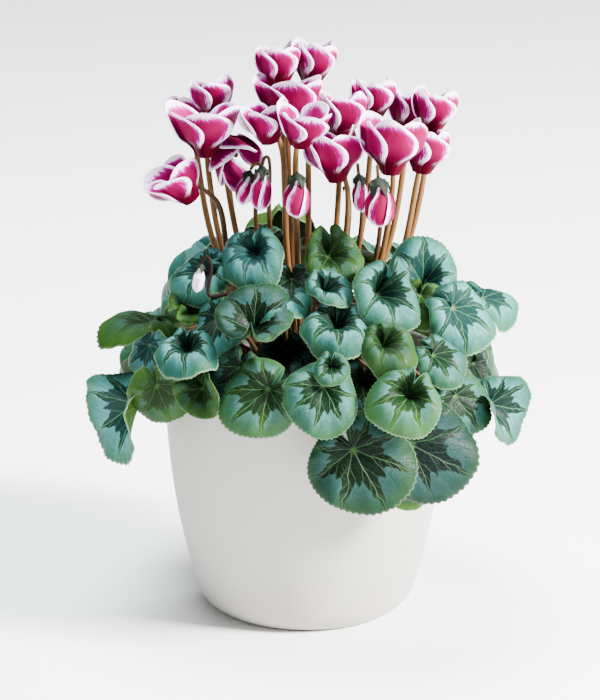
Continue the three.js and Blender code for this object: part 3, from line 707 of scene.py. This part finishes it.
def leaf_axes(azimuth, elevation, spin):
    """Unit vectors out of the blade's upper face, towards its tip and across it."""
    out = direction(azimuth, elevation)
    downhill = direction(azimuth, elevation - 90)
    sideways = np.cross(out, downhill)
    along = downhill * math.cos(math.radians(spin)) + sideways * math.sin(math.radians(spin))
    return out, along, np.cross(out, along)


def reach(angle, phase):
    """How far the margin is from the stem at an angle from the tip, as a share of the length."""
    notch = smoothstep(np.abs(angle) / math.pi, 0.9, 1)
    uneven = 1 + 0.05 * np.sin(3 * angle + 2 * phase)
    return (0.71 + 0.26 * np.cos(angle) + 0.03 * np.cos(2 * angle)) * (1 - 0.75 * notch) * uneven


def rise(form, phase, angle, share):
    """How far the blade stands out of its plane, as a share of its length."""
    lift, droop, lobes, fold, wave, waves = FORMS[form]
    back = ((1 - np.cos(angle)) / 2) ** 2
    height = lift * share * (2 - share) - droop * share**3 + lobes * back * share**1.5
    height += fold * share * np.sin(angle) ** 2 + wave * share**2 * np.sin(waves * angle + phase)
    return height


def blade(sheet, row):
    """One leaf blade: both faces and the margin, quilted between its veins and finely toothed."""
    _, x, y, z, azimuth, elevation, spin, length, form, phase, tone = row
    axes = leaf_axes(azimuth, elevation, spin)
    out = axes[0]
    stem_end = np.array([x, y, z])
    columns = 2 * BLADE_TEETH
    angles = full_turn(columns) - math.pi + math.pi / columns
    shares = np.linspace(0, 1, BLADE_RINGS + 1)[1:] ** 0.85
    share, angle = crossed(shares, angles)
    seed = RNG.uniform(0, 50)
    tooth = np.array([-0.5, 0.5] * BLADE_TEETH)
    edge = 1 + smoothstep(share, 0.75, 1) * (TOOTH * tooth + OUTLINE_WAVE * np.sin(5 * angle + seed))
    outward = share * reach(angle, phase) * edge
    height = rise(form, phase, angle, share)
    quilt = np.abs(np.sin(VEIN_WAVES * angle))
    height += QUILT * quilt * share * (1 - share**2) - SINK
    height += RUFFLE * share**3 * np.sin(8 * angle + seed)
    height += FRILL * share**4 * np.sin(19 * angle + 2 * seed)
    height -= ROLL * share**10
    place = around(stem_end, axes, angle, length * outward, length * height).reshape(-1, 3)
    half = (BLADE_THICKNESS * (0.42 - 0.24 * share**6)).reshape(-1, 1)
    middle = stem_end - SINK * length * out
    plane = np.stack([share * np.cos(angle), share * np.sin(angle), 0 * share], axis=-1)
    plane = np.vstack([[0, 0, 0], plane.reshape(-1, 3)])
    silver, lime, blue, light = TONES[tone]
    silver *= RNG.uniform(0.8, 1.05)
    lime += RNG.uniform(0, 0.12)
    # The lightness is partly the leaf's own tone and partly painted light and shade; it goes to the
    # shade attribute
    light *= LEAF_LIGHT * RNG.uniform(0.86, 1.14)
    size = len(place)
    fan = [(0, 1 + k, 1 + (k + 1) % columns) for k in range(columns)]
    faces = fan + strip_faces(len(shares), columns, closed=True, flip=True, first=1)
    for side, material in ((1, 0), (-1, 1)):
        points = np.vstack([middle + side * 0.42 * BLADE_THICKNESS * out, place + side * half * out])
        own = faces if side > 0 else [face[::-1] for face in faces]
        marks = {"blade": plane, "tone": (silver, lime, blue), "shade": (light, seed, 0)}
        sheet.add(points, own, material, **marks)
    edge_start = sheet.count - (size + 1) - columns
    for k in range(columns):
        a, b = edge_start + k, edge_start + (k + 1) % columns
        sheet.faces.append((a, a + size + 1, b + size + 1, b))
        sheet.materials.append(0)


def petiole_path(row):
    """A leaf stem's course from the corm to the back of its blade, over the rim where it must."""
    _, x, y, z, azimuth, elevation, spin, *_ = row
    out = leaf_axes(azimuth, elevation, spin)[0]
    end = np.array([x, y, z]) - (BLADE_THICKNESS / 2 + CLEARANCE) * out
    bearing, distance = math.atan2(y, x), math.hypot(x, y)
    foot = 14 + 0.12 * (distance - 35)

    def polar(radius, height):
        return around(0, UPRIGHT, bearing, radius, height)

    start = polar(foot, CORM_CENTRE + CORM_HALF * math.sqrt(1 - (foot / CORM_RADIUS) ** 2) - 4)
    if z < POT_HEIGHT + 12 and distance > POT_RIM:
        middle = [polar(50, POT_HEIGHT + 12), polar(POT_RIM, POT_HEIGHT + 7)]
    else:
        middle = [polar(foot + 0.45 * (distance - foot), start[2] + 0.8 * (z - start[2]) + 4)]
    if z < POT_HEIGHT - 10:
        middle.append(polar(POT_RIM + 6, POT_HEIGHT))
    return smooth_path([start, *middle, end - 8 * out, end + 0.3 * out], 7)


# Blooms


def petal_course(length, flare):
    """Share up the petal, distance from the axis, height, half angle and winding per radian."""
    size = length / 26
    return [
        (0, THROAT_OUTER + 0.1, THROAT_MOUTH - 2.2, 0.56, 0.9),
        (0.13, 6.8, 0.12 * length, 0.72, 1.9),
        (0.4, (11.6 + 0.9 * flare) * size, 0.38 * length, 1, 3.0),
        (0.76, (11.6 + 4.6 * flare) * size, 0.77 * length, 0.94, 3.3),
        (1, (8.6 + 9.6 * flare) * size, 1.02 * length, 0.72, 2.2),
    ]


def bloom(petals, throats, greens, row):
    """One bloom: five swept-back petals round a hollow throat, a calyx over it and a style in it."""
    _, x, y, z, azimuth, lean, side, length, flare = row
    axes = side_axes(direction(azimuth, 90 - lean), side)
    up, towards, _ = axes
    origin = np.array([x, y, z])
    ends = np.sin(np.linspace(0, math.pi / 2, PETAL_ROWS // 2 + 1))[1:]
    low = np.linspace(0, TIP_START, PETAL_ROWS - len(ends))
    rows = np.concatenate([low, TIP_START + TIP_SHARE * ends])
    radius, height, spread, wind = course_at(petal_course(length, flare), rows).T[..., None]
    tip = np.clip(rows - TIP_START, 0, 1) / TIP_SHARE
    tip = np.sqrt(np.clip(1 - tip**2.2, 0, 1))[:, None]
    spread = spread * np.maximum(tip, 0.01)
    t, c = crossed(rows, np.linspace(-1, 1, PETAL_COLUMNS))
    q = c * np.maximum(tip, 0.02)
    offset = c * spread
    half_width = radius * spread
    margin = np.minimum((1 - np.abs(c)) * half_width, (1 - t) * length * 0.95)
    marks = np.stack([c, t, margin], axis=-1).reshape(-1, 3)
    size = PETAL_ROWS * PETAL_COLUMNS
    grid = np.arange(size).reshape(PETAL_ROWS, PETAL_COLUMNS)
    rim = np.concatenate([grid[:, 0], grid[-1, 1:], grid[-2::-1, -1]]).tolist()
    for petal in range(PETAL_COUNT):
        middle = math.radians(180 + PETAL_SPACING * (petal - (PETAL_COUNT - 1) / 2))
        own = 1 + 0.05 * math.sin(2.4 * petal + x)
        seed = RNG.uniform(0, 50)
        stretch = 1 + (own - 1) * smoothstep(t, 0.76, 1)
        out = stretch * radius + wind * offset
        out += 0.7 * t * np.sin(3.2 * q + seed) * smoothstep(t, 0.3, 1)
        crimped = smoothstep(np.abs(q), 0.5, 1) * smoothstep(t, 0.35, 0.8)
        out += 0.4 * crimped * np.sin(9 * t + 4 * q + seed)
        out -= 0.6 * (1 - q**2) * smoothstep(t, 0.1, 0.5) * (1 - 0.5 * t)
        rise_up = stretch * height - np.abs(q) ** 1.6 * 0.06 * height**2 / length
        rise_up += (RNG.uniform(-0.3, 0.1) + 0.35 * np.sin(5 * q + seed)) * smoothstep(t, 0.5, 1)
        pale = RNG.uniform(0, 0.5)
        for face in (1, -1):
            half = face * (0.38 - 0.2 * np.maximum(np.abs(c), t) ** 5)
            points = around(origin, axes, middle + offset, out + half, rise_up).reshape(-1, 3)
            faces = strip_faces(PETAL_ROWS, PETAL_COLUMNS, flip=face < 0)
            petals.add(points, faces, petal=marks, tone=(seed, pale, face))
        first = petals.count - 2 * size
        for a, b in zip(rim, rim[1:]):
            petals.faces.append((first + a, first + b, first + size + b, first + size + a))
            petals.materials.append(0)

    turns = full_turn(THROAT_SIDES)
    ring = 0.18 * np.cos(5 * turns)
    points = [around(origin, axes, turns, r + ring * (r > 3), h) for r, h in THROAT_WALL]
    faces = strip_faces(len(THROAT_WALL), THROAT_SIDES, closed=True)
    throats.add(np.concatenate(points), faces, course=(0, 0, 0), tone=(0, 0, 0))
    style = origin + np.outer(np.linspace(2.4, -3.0, len(STYLE_RADII)), up)
    tube(throats, style, np.array(STYLE_RADII), 8, 1)
    calyx(greens, origin + 5.6 * up, -up, towards, 2.6, 3.4)


def calyx(greens, top, away, towards, radius, reach_mm):
    """Five pointed sepals that close over the flower's base."""
    rows, columns = 9, 41
    t, turn = crossed(np.linspace(0, 1, rows), np.linspace(0, 2 * math.pi, columns))
    lobe = 1 - np.abs(np.sin(2.5 * turn)) ** 1.6
    cut = smoothstep(t, 0.25, 0.6)
    drop = reach_mm * t * (0.42 + 0.58 * cut * lobe + 0.58 * (1 - cut))
    spread = radius * np.sqrt(np.clip(t * 1.6, 0, 1)) * (1 + 0.16 * t) + 0.35 * t * lobe
    points = around(top, (away, towards, np.cross(away, towards)), turn, spread, drop)
    greens.add(points.reshape(-1, 3), strip_faces(rows, columns))


# Buds


def bud(sheet, greens, row):
    """One hanging bud: petals furled round each other in a spiral, under a narrow calyx."""
    _, x, y, z, azimuth, lean, side, length, radius = row
    axes = side_axes(direction(azimuth, lean - 90), side)
    down, towards, _ = axes
    top = np.array([x, y, z])
    t, c = crossed(np.linspace(0.02, 1, BUD_ROWS), np.linspace(-1, 1, BUD_COLUMNS))
    width = np.clip(course_at(BUD_COURSE, t[:, 0])[:, 0], 0.02, 1)[:, None]
    open_tips = 1 - 0.25 * smoothstep(t, 0.75, 1) * np.abs(c)
    pale = 1.1 if row[0] == "bud_small" else 0.2
    for petal in range(PETAL_COUNT):
        offset = c * (0.62 + 0.34 * smoothstep(t, 0.15, 0.5) * open_tips)
        turn = 2 * math.pi * petal / PETAL_COUNT + offset + 0.8 * t
        out = radius * width * (0.94 + 0.13 * offset - 0.05 * offset**2)
        margin = np.minimum((1 - np.abs(c)) * radius * width * 0.9, (1.03 - t) * length)
        marks = np.stack([c, np.maximum(t, 0.3), margin], axis=-1).reshape(-1, 3)
        points = around(top, axes, turn, out, t * length).reshape(-1, 3)
        tone = (RNG.uniform(0, 50), pale, 1)
        sheet.add(points, strip_faces(BUD_ROWS, BUD_COLUMNS), petal=marks, tone=tone)
    calyx(greens, top - 0.7 * down, down, towards, 0.54 * radius + 0.5, 0.36 * length)


# Flower stems


def flower_stem(name, end):
    """A flower stem's course and radii: from the corm to the first point of its end, then through
    the others, which are its hook."""
    low = end[0]
    foot = np.array([0.2 * low[0], 0.3 * low[1]])
    depth = CORM_HALF * math.sqrt(1 - (np.linalg.norm(foot) / CORM_RADIUS) ** 2)
    start = np.array([*foot, CORM_CENTRE + depth - 4])
    rising = []
    for share in (0.28, 0.62):
        gone = np.array([1 - (1 - share) ** 1.8, share**1.3, share])
        rising.append(start + (low - start) * gone)
    path = smooth_path([start, *DETOURS.get(name, rising), *end], STEM_STEPS)
    steps = np.arange(len(path)) / STEM_STEPS
    widths = [PEDUNCLE_RADIUS, PEDUNCLE_RADIUS * 0.92, HOOK_RADIUS, HOOK_RADIUS]
    return path, np.interp(steps, [0, 3, 4, len(end) + 2], widths)


def bloom_stem(row):
    name, x, y, z, azimuth, lean, side, *_ = row
    axes = side_axes(direction(azimuth, 90 - lean), side)
    outward, height = np.transpose([(8.5, -14), (7.4, 0), (6.2, 6.2), (3, 8.4), (0.2, 5.1)])
    return flower_stem(name, around(np.array([x, y, z]), axes, 0, outward, height))


def bud_stem(row):
    name, x, y, z, azimuth, lean, side, length, radius = row
    axes = side_axes(direction(azimuth, lean - 90), side)
    outward = np.array([radius + 3.5, radius + 2.4, radius, 0.4 * radius, 0])
    drop = np.array([length, 2, -4, -4.4, -0.7])
    return flower_stem(name, around(np.array([x, y, z]), axes, 0, outward, drop))


# Pot, liner, soil and corm


def pot_radius(height):
    return POT_RIM - POT_TAPER * (1 - height / POT_HEIGHT) ** POT_BEND


def make_pot():
    """The turned cover pot, hollow, with a rounded foot and rim."""
    outside = [(pot_radius(h), h) for h in np.linspace(7.5, POT_HEIGHT - 2, 26)]
    inside = [(pot_radius(h) - POT_WALL, h) for h in np.linspace(POT_HEIGHT - 2, 14, 20)]
    foot = rounded([(POT_FOOT - 1, 0), (POT_FOOT + 3.2, 0), (POT_FOOT + 7.6, 3.0), outside[0]], 3.0)
    top = [(POT_RIM, POT_HEIGHT), (POT_RIM - POT_WALL, POT_HEIGHT)]
    rim = rounded([outside[-1], *top, inside[0]], 1.4, 6)
    floor = rounded([inside[-1], (POT_FOOT + 2, POT_FLOOR), (POT_FOOT - 8, POT_FLOOR)], 5.0)
    sheet = Sheet()
    wall = [*foot, *outside[1:-1], *rim, *inside[1:-1], *floor]
    lathe(sheet, [(0.01, 0), (POT_FOOT - 4, 0), *wall, (0.01, POT_FLOOR)], POT_SIDES)
    sheet.build("cover_pot", [pot_material()], "pot", ["pot"])


def liner_radius(height):
    return between(LINER_FOOT, LINER_MOUTH, height, LINER_BASE, LINER_TOP)


def make_liner():
    """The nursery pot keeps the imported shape, with its drain holes, and takes a plastic finish."""
    node = bpy.data.objects["nursery_pot"]
    node.data.materials.clear()
    node.data.materials.append(liner_material())


def make_soil():
    """The block of peat with a lumpy top, and loose crumbs on it."""
    sheet = Sheet()
    base = LINER_BASE + LINER_FLOOR + CLEARANCE
    edge = liner_radius(SOIL_LEVEL) - LINER_WALL - CLEARANCE
    bottom = liner_radius(base) - LINER_WALL - CLEARANCE
    lathe(sheet, [(0.01, base), (bottom, base), (edge, SOIL_LEVEL - 2)], SOIL_SIDES)
    rows = 20
    radius, turn = crossed(np.linspace(edge, 4, rows), full_turn(SOIL_SIDES))
    u, v = radius * np.cos(turn), radius * np.sin(turn)
    lumps = np.sin(0.31 * u + 1.3) * np.sin(0.27 * v)
    lumps += 0.6 * np.sin(0.83 * u - 0.4 * v) + 0.5 * np.cos(0.7 * v + 0.5 * u)
    level = SOIL_LEVEL + SOIL_CROWN * smoothstep(edge - radius, 0, 20) + 0.55 * lumps - 1.6
    level[0] = SOIL_LEVEL - 2
    top = np.stack([u, v, level], axis=-1).reshape(-1, 3)
    sheet.add(top, strip_faces(rows, SOIL_SIDES, closed=True))
    crumb = bmesh.new()
    bmesh.ops.create_icosphere(crumb, subdivisions=1, radius=1)
    corners = np.array([vertex.co for vertex in crumb.verts])
    sides = [tuple(vertex.index for vertex in face.verts) for face in crumb.faces]
    crumb.free()
    for _ in range(CRUMB_COUNT):
        distance = edge * math.sqrt(RNG.uniform(0.16, 0.94))
        bearing = RNG.uniform(0, 2 * math.pi)
        middle = around(0, UPRIGHT, bearing, distance, SOIL_LEVEL + 0.6)
        size = np.array([RNG.uniform(0.5, 1.9) for _ in range(3)])
        sheet.add(middle + corners * size * (1 + 0.25 * np.sin(9 * corners[:, ::-1])), sides)
    sheet.build("peat", [soil_material()], "soil", ["soil"])


def make_stems():
    """The corm with every leaf stem and flower stem, which stand for the one CAD node."""
    sheet = Sheet()
    rows, columns = 24, 60
    t, turn = crossed(np.linspace(-1.56, 1.56, rows), full_turn(columns))
    knobbly = 0.98 + 0.02 * np.sin(7 * turn + 3 * t) * np.cos(t)
    radius, height = CORM_RADIUS * knobbly * np.cos(t), CORM_CENTRE + CORM_HALF * knobbly * np.sin(t)
    points = around(0, UPRIGHT, turn, radius, height).reshape(-1, 3)
    sheet.add(points, strip_faces(rows, columns, closed=True), course=(0, 0, 0), tone=(0, 0, 0))
    for row in LEAVES:
        path = petiole_path(row)
        radii = PETIOLE_RADIUS * (1.05 - 0.25 * np.linspace(0, 1, len(path)))
        tone = (RNG.uniform(0, 50), RNG.uniform(0, 0.25), 0)
        tube(sheet, path, radii, PETIOLE_SIDES, 1, tone)
    for row in BLOOMS:
        path, radii = bloom_stem(row)
        seed = RNG.uniform(0, 50)
        dark = 0.75 if row[0] == "bloom_far_left" else RNG.uniform(0, 0.3)
        tube(sheet, path, radii, STEM_SIDES, 2, (seed, dark, 0))
    for row in BUDS:
        path, radii = bud_stem(row)
        small = row[0] == "bud_small"
        seed = RNG.uniform(0, 50)
        dark = 1 if small else RNG.uniform(0.3, 0.8)
        tube(sheet, path, radii * (0.7 if small else 0.82), STEM_SIDES, 2, (seed, dark, 0))
    path, radii = flower_stem("", np.array([SPENT_LOW, SPENT_TIP], float))
    tube(sheet, path, radii * 0.85, STEM_SIDES, 2, (3, 0.9, 0))
    materials = [
        mottled_material("corm_skin"),
        stem_material("leaf_stem", (0.04, 0.032, 0.012), (0.12, 0.075, 0.032), (0.07, 0.02, 0.012)),
        stem_material("flower_stem", (0.07, 0.03, 0.008), (0.19, 0.09, 0.025), (0.09, 0.02, 0.008)),
    ]
    sheet.build("corm_with_stems", materials, "stem", ["corm_and_stems"])


def make_leaves():
    materials = [leaf_material(), leaf_under_material()]
    for node in dict.fromkeys(row[0] for row in LEAVES):
        sheet = Sheet()
        for row in LEAVES:
            if row[0] == node:
                blade(sheet, row)
        sheet.build(node + "_blade", materials, "leaf", [node])


def make_flowers():
    petal_paint = petal_material("petal", 1.85)
    bud_paint = petal_material("bud_petal", 1.3)
    throat_paint = mottled_material("throat")
    style_paint = Paint("style", Roughness=0.5, Base_Color=(0.25, 0.02, 0.08, 1)).material
    throats, greens = Sheet(), Sheet()
    for node in dict.fromkeys(row[0] for row in BLOOMS):
        petals = Sheet()
        for row in BLOOMS:
            if row[0] == node:
                bloom(petals, throats, greens, row)
        petals.build(node + "_petals", [petal_paint], "petal", [node])
    for row in BUDS:
        furled = Sheet()
        bud(furled, greens, row)
        furled.build(row[0] + "_furled", [bud_paint], "bud", [row[0]])
    ahead = unit(np.subtract(SPENT_TIP, SPENT_LOW))
    calyx(greens, np.array(SPENT_TIP) + 0.6 * ahead, -ahead, np.array([1.0, 0, 0]), 1.9, 4.5)
    throats.build("throats", [throat_paint, style_paint], "petal")
    greens.build("calyxes", [mottled_material("calyx")], "stem")


# Setting


def area_light(name, place, aim, size, watts, tint):
    data = bpy.data.lights.new(name, "AREA")
    data.shape = "DISK"
    data.size = size
    data.energy = watts
    data.color = tint
    light = new_object(name, data)
    light.location = place
    light.rotation_euler = (Vector(aim) - Vector(place)).to_track_quat("-Z", "Y").to_euler()


def make_setting():
    """The camera, the pale floor and the studio light."""
    lens = bpy.data.cameras.new("camera")
    lens.lens, lens.clip_end = CAMERA_LENS, 30
    camera = new_object("camera", lens)
    camera.location = CAMERA_PLACE
    camera.rotation_euler = (math.radians(CAMERA_TILT), 0, 0)
    bpy.context.scene.camera = camera

    floor_mesh = bpy.data.meshes.new("floor")
    floor_mesh.from_pydata([(-9, -9, 0), (9, -9, 0), (9, 9, 0), (-9, 9, 0)], [], [(0, 1, 2, 3)])
    pale = (0.93, 0.93, 0.925, 1)
    floor_paint = Paint("floor_paper", Roughness=0.8, Base_Color=pale, Specular_IOR_Level=0.1)
    floor_mesh.materials.append(floor_paint.material)
    floor = new_object("floor", floor_mesh)

    world = bpy.data.worlds.new("studio")
    world.use_nodes = True
    background = world.node_tree.nodes["Background"]
    background.inputs[0].default_value = WORLD_TINT
    background.inputs[1].default_value = WORLD_STRENGTH
    bpy.context.scene.world = world
    for light in LIGHTS:
        area_light(*light)


make_setting()
make_pot()
make_liner()
make_soil()
make_stems()
make_leaves()
make_flowers()
